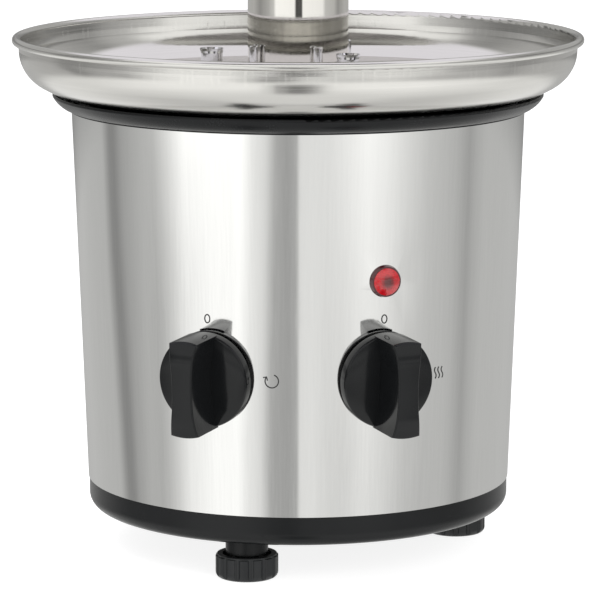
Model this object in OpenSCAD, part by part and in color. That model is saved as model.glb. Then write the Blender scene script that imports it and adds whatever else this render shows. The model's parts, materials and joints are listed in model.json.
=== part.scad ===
// Tiered chocolate fountain: a heated steel bowl on a drum base, and a screw that
// lifts the melt up a tube to run down over a crown and three domed tiers.
// Origin on the standing surface, on the tower's axis; +Z up, controls facing -Y.
// Azimuths are measured from the front (-Y) towards +X.

/* [Overall] */
// Height of the bowl's rim above the standing surface
rim_z = 272; // [268:1:290]
// Height of the top of the screw's knob
total_h = 600; // [590:1:620]

/* [Bowl] */
// Radius to the outside of the rolled rim
bowl_rim_r = 150; // [148:1:154]
// Radius of the rolled rim's bead
bowl_bead_r = 2.2; // [1.8:0.1:2.6]
// Outside radius of the wall's upper curve
bowl_upper_r = 21; // [19.5:0.5:22]
// Outside radius of the wall's lower curve
bowl_lower_r = 57.5; // [56:0.5:60]
// Thickness of the bowl's sheet
bowl_t = 0.8; // [0.6:0.1:1.2]
// Radius of the ring of retaining studs
stud_ring_r = 45.5; // [44:0.5:48]
// Radius of the ring of pins that locate the tube
pin_ring_r = 30; // [29.5:0.1:31]
// Radius of a locating pin
pin_r = 2.25; // [2:0.05:2.5]

/* [Drum] */
// Outside radius of the drum at its bottom edge
drum_bottom_r = 112; // [111:0.2:113]
// Outside radius of the drum at its top edge
drum_top_r = 119.2; // [118:0.2:119.8]
// Height of the drum's bottom edge
drum_bottom_z = 37.4; // [36:0.2:39]
// Thickness of the drum's sheet
shell_t = 1; // [0.8:0.1:1.4]
// Height of the underside of the base pan
pan_z = 21.6; // [21:0.2:23]

/* [Controls] */
// Azimuth of each knob
control_az = 22.6; // [20:0.2:26]
// Height of the knobs
knob_z = 108; // [104:1:114]
// Radius of a knob
knob_r = 23.8; // [22:0.1:25]
// Depth of a knob from its back to its grip's front
knob_depth = 31.5; // [28:0.5:36]
// Height of the indicator lamp
lamp_z = 158; // [154:1:164]
// Height of the cord gland
gland_z = 62; // [58:1:70]
// Radius of the hole that takes the cord
cord_hole_r = 3.6; // [3:0.1:4]

/* [Feet] */
// Radius of the ring of feet
foot_ring_r = 87; // [84:1:90]
// Radius of a foot's pad
foot_pad_r = 16.15; // [15:0.05:17]
// Height of a foot's pad
foot_pad_h = 12.5; // [12:0.1:13]

/* [Tower] */
// Outside radius of the tube
tube_r = 26.5; // [26:0.1:26.8]
// Thickness of the tube's wall
tube_t = 1; // [0.8:0.1:1.2]
// Height of the lower tier's rim
lower_tier_z = 366; // [362:1:370]
// Height from one tier's rim to the next
tier_step = 72; // [70:1:74]
// Pitch of the screw's flight
flight_pitch = 38; // [34:1:44]

/* [Hidden] */
$fn = 96;
eps = 0.01;

// Bowl outline, as centres [radius, height] of its two tangent curves
bowl_wall_inset = 3.5;
bowl_wall_r = bowl_rim_r - bowl_wall_inset;
bowl_break_a = 60;
upper_c = [bowl_wall_r - bowl_upper_r, rim_z - 7.3];
lower_c = upper_c
  + (bowl_lower_r - bowl_upper_r) * [-cos(bowl_break_a), sin(bowl_break_a)];
bowl_under_z = lower_c[1] - bowl_lower_r;
bowl_floor_z = bowl_under_z + bowl_t;

// Seal, studs and locating pins in the bowl's floor
seal_neck_r = 9;
seal_flange_r = 11.5;
seal_top_z = bowl_floor_z + 5.4;
stud_azimuths = [-83, 35, 155];
stud_r = 5.7;
stud_rim_r = 6.15;
stud_top_z = rim_z - 7;
stud_shank_r = 3;
stud_tail_l = 2;
stud_hole_r = 3.2;
washer_r = 7.4;
washer_t = 1.2;
pin_azimuths = [-50, 20, 121, 200];
pin_top_z = rim_z - 4.4;

// Stack that hangs under the bowl, from the top down
heater_t = 4;
heater_inner_r = 16;
heater_outer_r = 88;
heater_z = bowl_under_z - heater_t;
element_r = 3.5;
element_ring_r = 66;
element_z = heater_z - element_r - 0.1;
element_gap_az = 95;
element_gap_a = 24;
element_leg_r = 1.6;
bridge_t = 2;
bridge_top_z = bowl_under_z - 13.8;
bridge_z = bridge_top_z - bridge_t;
bridge_r = 90;
bridge_ear_r = 7;
bridge_ear_ring_r = 98;
bridge_ear_azimuths = [13, 133, 253];
bridge_hole_r = 12;
spacer_r = 5.5;
nut_t = 4;
nut_r = 5.6;

// Drum and collar
drum_top_z = bowl_under_z - 5.8;
drum_slope = (drum_top_r - drum_bottom_r) / (drum_top_z - drum_bottom_z);
wall_tilt = atan(drum_slope);
wall_cut = 8;
spigot_t = 2.5;
spigot_gap = 0.4;
collar_curve_r = 14;
collar_t = 2;
collar_lip_r = 129;
collar_lip_a = 29;
collar_root_a = 80;
collar_flange_w = 1.1;
collar_spigot_h = 15;
collar_c = [collar_lip_r - collar_curve_r * cos(collar_lip_a), drum_top_z + collar_curve_r];
collar_web_t = 2.5;
collar_web_z = drum_top_z - 1.5;
collar_ring_r = 123.6;
collar_ring_t = 1.6;
collar_ring_root_z = drum_top_z + 3;
collar_ring_z = bowl_under_z + 0.5;
seat_inner_r = 103;
seat_outer_r = 107;
boss_r = 6.5;
rod_r = 2;
rod_ring_r = 100;
rod_azimuths = [73, 193, 313];
rod_boss_h = 14;
rod_head_r = 4;
rod_head_h = 2.6;
rod_end_gap = 1;
screw_r = 2;
tab_t = 0.8;

// Base pan
pan_r = 111.5;
pan_wall_t = 3;
pan_floor_t = 3;
pan_spigot_h = 9;
vent_count = 7;
vent_w = 3.5;
vent_pitch = 9;
vent_l = 46;

// Levelling feet
foot_azimuths = [-17, 103, 223];
foot_boss_r = 11;
foot_boss_z = 13;
foot_inner_boss_r = 8;
foot_inner_boss_z = 40;
foot_bore_r = 4;
foot_stud_r = 3.95;
foot_stud_root_z = 5;
foot_stud_top_z = 39;
foot_recess_r = 12.6;
foot_recess_h = 2.5;
foot_flutes = 14;
foot_flute_r = 1.9;
foot_edge_r = 3;

// Controls, on axes square to the drum's wall
switch_bush_r = 4.9;
switch_bush_h = 4;
switch_size = 27;
switch_depth = 19;
switch_back_t = 3;
switch_set_back = 2.4;
switch_collar_r = 7;
switch_shaft_r = 3;
switch_bore_r = 3.05;
switch_shaft_front = 21;
switch_nut_t = 2.4;
switch_nut_r = 7.6;
knob_back = 0.9;
knob_skirt_t = 7.6;
knob_bevel = 1.4;
knob_grip_w = 10.6;
knob_flank_r = 130;
knob_cavity_r = 10;
knob_cavity_h = 5;
lamp_r = 8.3;
lamp_bezel_t = 2.2;
lamp_lens_r = 6.9;
lamp_lens_seat = 1.2;
lamp_dome_r = 13;
lamp_barrel_r = 6.2;
lamp_barrel_l = 20;
gland_az = 180;
gland_barrel_r = 7.9;
gland_barrel_l = 13;
gland_flange_r = 11;
gland_flange_t = 5;
gland_neck_l = 5;
gland_neck_r = 7.3;
gland_cap_r = 10.2;
gland_cap_l = 12;
gland_cap_gap = 0.4;
gland_dome_l = 5;
gland_nut_t = 4;
wall_gap = 0.3;
wall_nut_gap = 0.7;
outside_gap = 0.02;

// Terminal block
block_size = [44, 18, 14];
block_at = [28, -38];
block_poles = 4;
block_pitch = 10;
block_wire_r = 2;
block_well_r = 2.6;

// Tower
tube_inner_r = tube_r - tube_t;
tube_top_z = 556;
intake_w = 14;
intake_h = 11;
tier_t = 0.8;
tier_bore_r = tube_r + 0.4;
tier_collar_r = tier_bore_r + tier_t;
tier_collar_h = 12;
tier_flat_r = 33;
tier_bead_r = 1.3;
peg_r = 1.5;
peg_reach_r = 29.6;
peg_notch_w = 4.4;
peg_notch_r = 30.6;
peg_turn = 40;
tier_rim_rs = [100, 80, 60];
tier_dome_rs = [150, 115, 82];
crown_floor_z = 551;
crown_curve_r = 14;
crown_foot_r = 32;
crown_bead_r = 1.4;

// Screw and drive shaft
shaft_r = 4;
journal_r = 3;
running_gap = 0.05;
socket_r = shaft_r + 0.06;
screw_core_r = 8;
screw_core_t = 1;
screw_bottom_z = seal_top_z + 1;
screw_top_z = 548;
drive_shaft_top_z = screw_bottom_z + 18;
drive_pin_r = 1.5;
drive_pin_half_l = 7.4;
drive_pin_z = screw_bottom_z + 7;
flight_r = 24.4;
flight_t = 1.6;
flight_steps_per_turn = 32;
weld_depth = 0.25;
finial_r = 11.5;
finial_neck_r = 6.5;

// Gearbox: three axes in a line that runs from the tower's axis
gear_az = 216;
gear_centres = 30;
gear_module = 1;
wheel_teeth = 48;
pinion_teeth = 12;
pressure_a = 20;
tooth_backlash = 0.05;
wheel_addendum = 0.75;
pinion_addendum = 1;
dedendum = 1.25;
cover_t = 4;
box_top_z = bridge_z;
box_wall_t = 3;
box_floor_t = 3;
box_h = 34;
box_z = box_top_z - box_h;
box_floor_z = box_z + box_floor_t;
box_room_r = 28;
box_neck_r = 12;
box_screw_at = [34, 4];
box_boss_r = 5.5;
bush_r = 7;
lower_bush_h = 9;
upper_bush_h = 7.5;
bush_proud = 3;
idler_axle_r = 2.5;
axle_seat_t = 0.5;
axle_cover_l = 2;
rotor_hole_r = 4;
first_wheel_z = box_floor_z + 4;
first_wheel_t = 6;
output_wheel_z = first_wheel_z + 11;
output_wheel_t = 8;
idler_top_z = output_wheel_z + 9;
idler_boss_h = 3.5;

// Motor under the gearbox, on the third gear axis
rotor_at = 2 * gear_centres;
rotor_shaft_r = 2.5;
rotor_r = 15;
air_gap = 0.5;
core_z = box_z - 56;
core_t = 25;
core_half_w = 30;
core_y0 = rotor_at - 56;
core_y1 = rotor_at + 24;
window_y0 = core_y0 + 14;
window_y1 = core_y0 + 34;
window_half_w = 18;
bobbin_t = 1;
cheek_half_t = 0.7;
coil_t = 6.5;
bolt_x = 24;
bolt_r = 2;
bearing_r = 6;
bearing_h = 7;
bracket_t = 2.5;
bracket_gap = 6;
bracket_w = 16;
bracket_post_r = 4.5;
bearing_proud = 2;
leg_r = 5;
fan_r = 26;
fan_hub_r = 6;
fan_blades = 6;
fan_h = 9;
fan_z = core_z - 36;

// ---- Placing and shared outlines ----

// Outside radius of the drum at a height
function drum_r(z) = drum_bottom_r + (z - drum_bottom_z) * drum_slope;

// Children stand on the ring of radius r, with their -Y side facing outwards
module polar(r, az) {
  rotate([0, 0, az])
    translate([0, -r, 0])
      children();
}

// Children stand on the drum's outside, +Z square out of the wall and +Y upwards
module on_wall(az, z) {
  rotate([0, 0, az])
    translate([0, -drum_r(z), z])
      rotate([90 + wall_tilt, 0, 0])
        children();
}

// Hole through the drum's wall, in the place that on_wall gives
module wall_hole(r) {
  translate([0, 0, -wall_cut])
    cylinder(r = r, h = 2 * wall_cut);
}

// Children stand on the gearbox's line of axes, a distance along it
module gear_line(along) {
  rotate([0, 0, gear_az + 180])
    translate([0, along, 0])
      children();
}

// A stretch of a ring about c, between two angles from the +r direction
module arc_band(c, r, t, a0, a1) {
  steps = 4;
  translate(c)
    intersection() {
      difference() {
        circle(r = r);
        circle(r = r - t);
      }
      polygon(concat([[0, 0]],
        [for (i = [0 : steps]) 2 * r * [cos(a0 + (a1 - a0) * i / steps),
                                        sin(a0 + (a1 - a0) * i / steps)]]));
    }
}

// Upright tube
module pipe(r, bore, h) {
  difference() {
    cylinder(r = r, h = h);
    translate([0, 0, -1])
      cylinder(r = bore, h = h + 2);
  }
}

// ---- Bowl and what stands in it ----

module bowl() {
  color("silver")
  difference() {
    rotate_extrude()
      union() {
        translate([seal_neck_r, bowl_under_z])
          square([lower_c[0] - seal_neck_r, bowl_t]);
        arc_band(lower_c, bowl_lower_r, bowl_t, -90, -bowl_break_a);
        arc_band(upper_c, bowl_upper_r, bowl_t, -bowl_break_a, 0);
        translate([bowl_wall_r - bowl_t, upper_c[1]])
          square([bowl_t, rim_z - bowl_bead_r - upper_c[1]]);
        translate([bowl_rim_r - bowl_bead_r, rim_z - bowl_bead_r])
          circle(r = bowl_bead_r);
      }
    for (az = stud_azimuths)
      polar(stud_ring_r, az)
        translate([0, 0, bowl_under_z - 1])
          cylinder(r = stud_hole_r, h = bowl_t + 2);
  }
}

// Four pins, welded to the bowl's floor, that the tube drops between
module locating_pins() {
  chamfer = 0.7;
  color("gainsboro")
  for (az = pin_azimuths)
    polar(pin_ring_r, az)
      translate([0, 0, bowl_floor_z]) {
        cylinder(r = pin_r, h = pin_top_z - bowl_floor_z - chamfer);
        translate([0, 0, pin_top_z - bowl_floor_z - chamfer])
          cylinder(r1 = pin_r, r2 = pin_r - chamfer, h = chamfer);
      }
}

// Slotted, dished studs that hold the bowl down, with shanks through to the bridge
module retaining_studs() {
  head_z = bowl_floor_z + washer_t;
  rim_h = 2.4;
  dish_depth = 1.6;
  dish_r = 5;
  slot_w = 0.9;
  slot_depth = 2.6;
  color("gainsboro")
  for (az = stud_azimuths)
    polar(stud_ring_r, az) {
      difference() {
        union() {
          translate([0, 0, head_z])
            cylinder(r = stud_r, h = stud_top_z - head_z - rim_h + eps);
          translate([0, 0, stud_top_z - rim_h])
            cylinder(r1 = stud_r, r2 = stud_rim_r, h = rim_h / 2);
          translate([0, 0, stud_top_z - rim_h / 2 - eps])
            cylinder(r = stud_rim_r, h = rim_h / 2 + eps);
        }
        translate([0, 0, stud_top_z - dish_depth])
          cylinder(r1 = dish_r - 1, r2 = dish_r, h = dish_depth + eps);
        translate([-slot_w / 2, -2 * stud_r, stud_top_z - slot_depth])
          cube([slot_w, 4 * stud_r, slot_depth + 1]);
      }
      translate([0, 0, bridge_z - nut_t - stud_tail_l])
        cylinder(r = stud_shank_r, h = head_z - bridge_z + nut_t + stud_tail_l + eps);
    }
}

module stud_washers() {
  color("white")
  for (az = stud_azimuths)
    polar(stud_ring_r, az)
      translate([0, 0, bowl_floor_z])
        pipe(washer_r, stud_shank_r, washer_t);
}

module stud_nuts() {
  color("silver")
  for (az = stud_azimuths)
    polar(stud_ring_r, az)
      translate([0, 0, bridge_z - nut_t])
        difference() {
          cylinder(r = nut_r, h = nut_t, $fn = 6);
          translate([0, 0, -1])
            cylinder(r = stud_shank_r, h = nut_t + 2);
        }
}

// Lipped seal that is buttoned into the hole in the middle of the bowl
module shaft_seal() {
  flange_t = 1.6;
  lip_r = shaft_r + 2.4;
  color("whitesmoke")
  difference() {
    union() {
      translate([0, 0, bowl_floor_z])
        cylinder(r = seal_flange_r, h = flange_t);
      translate([0, 0, bowl_floor_z + flange_t - eps])
        cylinder(r1 = seal_neck_r, r2 = lip_r, h = seal_top_z - bowl_floor_z - flange_t + eps);
      translate([0, 0, bowl_under_z - eps])
        cylinder(r = seal_neck_r, h = bowl_t + 2 * eps);
      translate([0, 0, bowl_under_z - flange_t])
        cylinder(r = seal_flange_r, h = flange_t);
    }
    translate([0, 0, bowl_under_z - flange_t - 1])
      cylinder(r = shaft_r + running_gap, h = seal_top_z - bowl_under_z + flange_t + 2);
  }
}

// ---- Heater and the bridge under it ----

module heater_plate() {
  color("lightgray")
  translate([0, 0, heater_z])
    difference() {
      pipe(heater_outer_r, heater_inner_r, heater_t);
      for (az = stud_azimuths)
        polar(stud_ring_r, az)
          translate([0, 0, -1])
            cylinder(r = stud_hole_r, h = heater_t + 2);
    }
}

// Sheathed element in an open ring, with its two ends turned down
module heater_element() {
  leg_l = 26;
  leg_inset_a = 2.5;
  color("dimgray") {
    rotate([0, 0, element_gap_az - 90 + element_gap_a / 2])
      translate([0, 0, element_z])
        rotate_extrude(angle = 360 - element_gap_a)
          translate([element_ring_r, 0])
            circle(r = element_r);
    for (side = [-1, 1])
      polar(element_ring_r, element_gap_az + side * (element_gap_a / 2 + leg_inset_a))
        translate([0, 0, element_z - leg_l])
          cylinder(r = element_leg_r, h = leg_l);
  }
}

// Steel plate that the studs pull up against the collar, with the drive hung below it
module bridge_plate() {
  window_w = 40;
  window_d = 16;
  color("silver")
  translate([0, 0, bridge_z])
    difference() {
      union() {
        cylinder(r = bridge_r, h = bridge_t);
        for (az = bridge_ear_azimuths)
          polar(0, az) {
            translate([-bridge_ear_r, -bridge_ear_ring_r, 0])
              cube([2 * bridge_ear_r, bridge_ear_ring_r - bridge_r / 2, bridge_t]);
            translate([0, -bridge_ear_ring_r, 0])
              cylinder(r = bridge_ear_r, h = bridge_t);
          }
      }
      translate([0, 0, -1])
        cylinder(r = bridge_hole_r, h = bridge_t + 2);
      for (az = stud_azimuths)
        polar(stud_ring_r, az)
          translate([0, 0, -1])
            cylinder(r = stud_shank_r, h = bridge_t + 2);
      for (az = bridge_ear_azimuths)
        polar(bridge_ear_ring_r, az)
          translate([0, 0, -1])
            cylinder(r = screw_r, h = bridge_t + 2);
      polar(element_ring_r, element_gap_az)
        translate([-window_w / 2, -window_d / 2, -1])
          cube([window_w, window_d, bridge_t + 2]);
      box_fixings()
        translate([0, 0, -1])
          cylinder(r = screw_r, h = bridge_t + 2);
    }
}

module bridge_spacers() {
  color("silver")
  for (az = stud_azimuths)
    polar(stud_ring_r, az)
      translate([0, 0, bridge_top_z])
        pipe(spacer_r, stud_shank_r, heater_z - bridge_top_z);
}

// Pan-head screws: three hold the bridge's ears to the collar, two the gearbox
module machine_screws() {
  head_h = 2.4;
  head_r = 3.5;
  ear_shank_l = 7;
  color("gray") {
    for (az = bridge_ear_azimuths)
      polar(bridge_ear_ring_r, az)
        translate([0, 0, bridge_z - head_h]) {
          cylinder(r = head_r, h = head_h);
          cylinder(r = screw_r, h = head_h + ear_shank_l);
        }
    gear_line(0)
      for (side = [-1, 1])
        translate([side * box_screw_at[0], box_screw_at[1], box_z - head_h]) {
          cylinder(r = head_r, h = head_h);
          cylinder(r = screw_r, h = head_h + box_h + bridge_t);
        }
  }
}

// Bimetal disc thermostat, held to the heater plate by its ears
module thermostat() {
  ring_r = 42;
  az = -25;
  can_r = 8;
  can_h = 6;
  ear = [26, 8, 1.2];
  tab = [tab_t, 5, 3.2];
  tab_x = 4;
  color("darkslategray")
  polar(ring_r, az)
    translate([0, 0, heater_z]) {
      translate([0, 0, -can_h])
        cylinder(r = can_r, h = can_h);
      translate([-ear[0] / 2, -ear[1] / 2, -ear[2]])
        cube(ear);
      for (side = [-1, 1])
        translate([side * tab_x - tab[0] / 2, -tab[1] / 2, -can_h - tab[2]])
          cube([tab[0], tab[1], tab[2] + eps]);
    }
}

// ---- Drum, collar and base pan ----

module body_shell() {
  color("gainsboro")
  difference() {
    rotate_extrude()
      polygon([[drum_bottom_r - shell_t, drum_bottom_z], [drum_bottom_r, drum_bottom_z],
               [drum_top_r, drum_top_z], [drum_top_r - shell_t, drum_top_z]]);
    for (side = [-1, 1])
      on_wall(side * control_az, knob_z)
        wall_hole(switch_bush_r + 0.1);
    on_wall(control_az, lamp_z)
      wall_hole(lamp_barrel_r + 0.1);
    on_wall(gland_az, gland_z)
      wall_hole(gland_barrel_r + 0.1);
  }
}

// Collar that caps the drum: flared lip, inner ring, seat for the bowl, and a spigot
module top_collar() {
  web_top = collar_web_z + collar_web_t;
  flange_r = drum_top_r + collar_flange_w;
  spigot_r = drum_r(drum_top_z - collar_spigot_h) - shell_t - spigot_gap;
  ear_hole_l = 5;
  color([0.07, 0.07, 0.08])
  difference() {
    union() {
      rotate_extrude()
        union() {
          arc_band(collar_c, collar_curve_r, collar_t, -collar_root_a, -collar_lip_a);
          translate(collar_c + (collar_curve_r - collar_t / 2) * [cos(collar_lip_a), -sin(collar_lip_a)])
            circle(r = collar_t / 2);
          translate([seat_inner_r, drum_top_z])
            square([flange_r - seat_inner_r, web_top - drum_top_z]);
          translate([collar_ring_r - collar_ring_t, collar_ring_root_z])
            square([collar_ring_t, collar_ring_z - collar_ring_root_z - collar_ring_t / 2]);
          translate([collar_ring_r - collar_ring_t / 2, collar_ring_z - collar_ring_t / 2])
            circle(r = collar_ring_t / 2);
          translate([spigot_r - spigot_t, drum_top_z - collar_spigot_h])
            square([spigot_t, collar_spigot_h + eps]);
          translate([seat_inner_r, collar_web_z])
            square([spigot_r - seat_inner_r - spigot_t + eps, collar_web_t]);
          translate([seat_inner_r, collar_web_z])
            square([seat_outer_r - seat_inner_r, bowl_under_z - collar_web_z]);
        }
      for (az = rod_azimuths)
        polar(rod_ring_r, az)
          translate([0, 0, collar_web_z - rod_boss_h])
            cylinder(r = boss_r, h = rod_boss_h + collar_web_t);
      for (az = bridge_ear_azimuths)
        polar(bridge_ear_ring_r, az)
          translate([0, 0, bridge_top_z])
            cylinder(r = boss_r, h = collar_web_z + collar_web_t - bridge_top_z);
    }
    for (az = rod_azimuths)
      polar(rod_ring_r, az)
        translate([0, 0, collar_web_z - rod_boss_h - 1])
          cylinder(r = rod_r, h = rod_boss_h + 1);
    for (az = bridge_ear_azimuths)
      polar(bridge_ear_ring_r, az)
        translate([0, 0, bridge_top_z - 1])
          cylinder(r = screw_r, h = ear_hole_l + 1);
  }
}

// Long screws that clamp the drum between the base pan and the collar
module tie_rods() {
  color("gray")
  for (az = rod_azimuths)
    polar(rod_ring_r, az)
      translate([0, 0, pan_z]) {
        cylinder(r = rod_head_r, h = rod_head_h);
        cylinder(r = rod_r, h = collar_web_z - rod_end_gap - pan_z);
      }
}

// Moulded pan: outer band, spigot inside the drum, vented floor and foot bosses
module base_pan() {
  band_r = 6.8;
  band_overlap = 3;
  rod_boss_h = 10;
  spigot_r = drum_bottom_r - shell_t - spigot_gap;
  vent_from = -(vent_count - 1) / 2;
  color([0.07, 0.07, 0.08])
  difference() {
    union() {
      rotate_extrude()
        union() {
          arc_band([pan_r - band_r, pan_z + band_r], band_r, pan_wall_t, -90, 0);
          translate([pan_r - pan_wall_t, pan_z + band_r])
            square([pan_wall_t, drum_bottom_z - pan_z - band_r]);
          translate([0, pan_z])
            square([pan_r - band_r, pan_floor_t]);
          translate([spigot_r - spigot_t, drum_bottom_z - band_overlap])
            square([spigot_t, pan_spigot_h + band_overlap]);
        }
      for (az = foot_azimuths)
        polar(foot_ring_r, az) {
          translate([0, 0, foot_boss_z])
            cylinder(r = foot_boss_r, h = pan_z - foot_boss_z + eps);
          translate([0, 0, pan_z + 1])
            cylinder(r = foot_inner_boss_r, h = foot_inner_boss_z - pan_z - 1);
        }
      for (az = rod_azimuths)
        polar(rod_ring_r, az)
          translate([0, 0, pan_z + 1])
            cylinder(r = boss_r, h = rod_boss_h - 1);
    }
    for (az = foot_azimuths)
      polar(foot_ring_r, az)
        translate([0, 0, foot_boss_z - 1])
          cylinder(r = foot_bore_r, h = foot_inner_boss_z - foot_boss_z + 2);
    for (az = rod_azimuths)
      polar(rod_ring_r, az) {
        translate([0, 0, pan_z - 1])
          cylinder(r = rod_head_r, h = rod_head_h + 1);
        translate([0, 0, pan_z])
          cylinder(r = rod_r, h = rod_boss_h + 1);
      }
    for (i = [0 : vent_count - 1])
      translate([(vent_from + i) * vent_pitch - vent_w / 2, -vent_l / 2, pan_z - 1])
        cube([vent_w, vent_l, pan_floor_t + 2]);
  }
}

// ---- Feet ----

// Fluted pad with a dished top and a hub that stops against the pan's boss
module foot_pad() {
  hub_r = 6;
  lip_h = 2;
  lip_inset = 0.8;
  difference() {
    rotate_extrude()
      difference() {
        union() {
          square([foot_pad_r - foot_edge_r, foot_pad_h]);
          translate([0, foot_edge_r])
            square([foot_pad_r, foot_pad_h - foot_edge_r - lip_h / 2]);
          translate([foot_pad_r - foot_edge_r, foot_edge_r])
            circle(r = foot_edge_r);
          translate([0, foot_pad_h - lip_h])
            square([foot_pad_r - lip_inset, lip_h]);
        }
        translate([hub_r, foot_pad_h - foot_recess_h])
          square([foot_recess_r - hub_r, foot_recess_h + 1]);
        translate([-foot_pad_r, -1])
          square([foot_pad_r, foot_pad_h + 2]);
      }
    for (i = [0 : foot_flutes - 1])
      polar(foot_pad_r + foot_flute_r / 2, i * 360 / foot_flutes)
        translate([0, 0, -1])
          cylinder(r = foot_flute_r, h = foot_pad_h + 2);
    translate([0, 0, foot_stud_root_z])
      cylinder(r = foot_stud_r, h = foot_pad_h);
  }
  translate([0, 0, foot_pad_h - eps])
    pipe(hub_r, foot_stud_r, foot_boss_z - foot_pad_h + eps);
}

module foot(az) {
  color([0.09, 0.09, 0.1])
  polar(foot_ring_r, az)
    foot_pad();
}

module foot_stud(az) {
  color("silver")
  polar(foot_ring_r, az)
    translate([0, 0, foot_stud_root_z])
      cylinder(r = foot_stud_r, h = foot_stud_top_z - foot_stud_root_z);
}

// ---- Controls ----

// Rotary switch inside the wall, with a threaded bush through it
module rotary_switch() {
  tab = [4.8, tab_t, 7];
  tab_pitch = 8;
  back = switch_set_back + switch_depth;
  difference() {
    union() {
      translate([0, 0, -back])
        linear_extrude(switch_depth)
          square(switch_size, center = true);
      translate([0, 0, -switch_set_back - eps])
        cylinder(r = switch_collar_r, h = switch_set_back - shell_t - wall_gap + eps);
      translate([0, 0, -switch_set_back])
        cylinder(r = switch_bush_r, h = switch_set_back + switch_bush_h);
      for (i = [-1 : 1])
        translate([i * tab_pitch - tab[0] / 2, -tab[1] / 2, -back - tab[2]])
          cube([tab[0], tab[1], tab[2] + eps]);
    }
    translate([0, 0, switch_back_t - back])
      cylinder(r = switch_bore_r, h = back + switch_bush_h);
  }
}

module rotary_switches() {
  color("dimgray")
  for (side = [-1, 1])
    on_wall(side * control_az, knob_z)
      rotary_switch();
}

module switch_nuts() {
  color("silver")
  for (side = [-1, 1])
    on_wall(side * control_az, knob_z)
      translate([0, 0, outside_gap])
        difference() {
          cylinder(r = switch_nut_r, h = switch_nut_t, $fn = 6);
          translate([0, 0, -1])
            cylinder(r = switch_bush_r, h = switch_nut_t + 2);
        }
}

// Hourglass outline of the knob's grip, cut to the skirt's own radius
module grip_outline() {
  reach = knob_grip_w / 2 + knob_flank_r;
  difference() {
    intersection() {
      circle(r = knob_r);
      square([2 * knob_grip_w, 2 * knob_r + 2], center = true);
    }
    for (side = [-1, 1])
      translate([side * reach, 0])
        circle(r = knob_flank_r, $fn = 360);
  }
}

module knob() {
  difference() {
    union() {
      translate([0, 0, knob_back])
        cylinder(r = knob_r, h = knob_skirt_t - knob_bevel);
      translate([0, 0, knob_back + knob_skirt_t - knob_bevel])
        cylinder(r1 = knob_r, r2 = knob_r - knob_bevel, h = knob_bevel);
      translate([0, 0, knob_back + knob_skirt_t / 2])
        linear_extrude(knob_depth - knob_skirt_t / 2)
          grip_outline();
    }
    translate([0, 0, knob_back - 1])
      cylinder(r = knob_cavity_r, h = knob_cavity_h + 1);
    translate([0, 0, knob_back])
      cylinder(r = switch_shaft_r, h = switch_shaft_front - knob_back);
  }
}

module switch_shaft() {
  back = switch_set_back + switch_depth - switch_back_t - 1;
  translate([0, 0, -back])
    cylinder(r = switch_shaft_r, h = back + switch_shaft_front);
}

module motor_knob() {
  color([0.05, 0.05, 0.06])
  on_wall(-control_az, knob_z)
    knob();
}

module motor_knob_shaft() {
  color("silver")
  on_wall(-control_az, knob_z)
    switch_shaft();
}

module heat_knob() {
  color([0.05, 0.05, 0.06])
  on_wall(control_az, knob_z)
    knob();
}

module heat_knob_shaft() {
  color("silver")
  on_wall(control_az, knob_z)
    switch_shaft();
}

// Lamp holder: bezel outside, barrel and contact tabs inside
module lamp_body() {
  tab = [tab_t, 3, 6];
  tab_x = 3;
  bezel_taper = 0.6;
  color([0.35, 0.02, 0.03])
  on_wall(control_az, lamp_z)
    difference() {
      union() {
        translate([0, 0, outside_gap])
          cylinder(r1 = lamp_r, r2 = lamp_r - bezel_taper, h = lamp_bezel_t);
        translate([0, 0, -lamp_barrel_l])
          cylinder(r = lamp_barrel_r, h = lamp_barrel_l + 1);
        for (side = [-1, 1])
          translate([side * tab_x - tab[0] / 2, -tab[1] / 2, -lamp_barrel_l - tab[2]])
            cube([tab[0], tab[1], tab[2] + eps]);
      }
      translate([0, 0, lamp_lens_seat])
        cylinder(r = lamp_lens_r, h = lamp_bezel_t);
    }
}

module lamp_lens() {
  rise = lamp_dome_r - sqrt(lamp_dome_r * lamp_dome_r - lamp_lens_r * lamp_lens_r);
  edge_t = 1.2;
  color([0.8, 0.02, 0.05, 0.8])
  on_wall(control_az, lamp_z)
    translate([0, 0, lamp_lens_seat])
      rotate_extrude()
        intersection() {
          translate([0, edge_t + rise - lamp_dome_r])
            circle(r = lamp_dome_r);
          square([lamp_lens_r, edge_t + rise]);
        }
}

// Cord gland: threaded barrel through the wall, domed cap outside, lock nut inside
module gland_body() {
  length = gland_barrel_l + gland_flange_t + gland_neck_l;
  color([0.09, 0.09, 0.1])
  on_wall(gland_az, gland_z)
    difference() {
      union() {
        translate([0, 0, -gland_barrel_l])
          cylinder(r = gland_barrel_r, h = gland_barrel_l + 1);
        translate([0, 0, outside_gap])
          cylinder(r = gland_flange_r, h = gland_flange_t, $fn = 6);
        translate([0, 0, gland_flange_t])
          cylinder(r = gland_neck_r, h = gland_neck_l);
      }
      translate([0, 0, -gland_barrel_l - 1])
        cylinder(r = cord_hole_r, h = length + 2);
    }
}

module gland_cap() {
  color([0.09, 0.09, 0.1])
  on_wall(gland_az, gland_z)
    translate([0, 0, gland_flange_t + gland_cap_gap])
      difference() {
        union() {
          cylinder(r = gland_cap_r, h = gland_cap_l - gland_dome_l, $fn = 12);
          translate([0, 0, gland_cap_l - gland_dome_l - eps])
            cylinder(r1 = gland_cap_r - 0.5, r2 = cord_hole_r + 2, h = gland_dome_l + eps);
        }
        translate([0, 0, -1])
          cylinder(r = gland_neck_r, h = gland_neck_l + 1);
        translate([0, 0, -1])
          cylinder(r = cord_hole_r, h = gland_cap_l + 2);
      }
}

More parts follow.
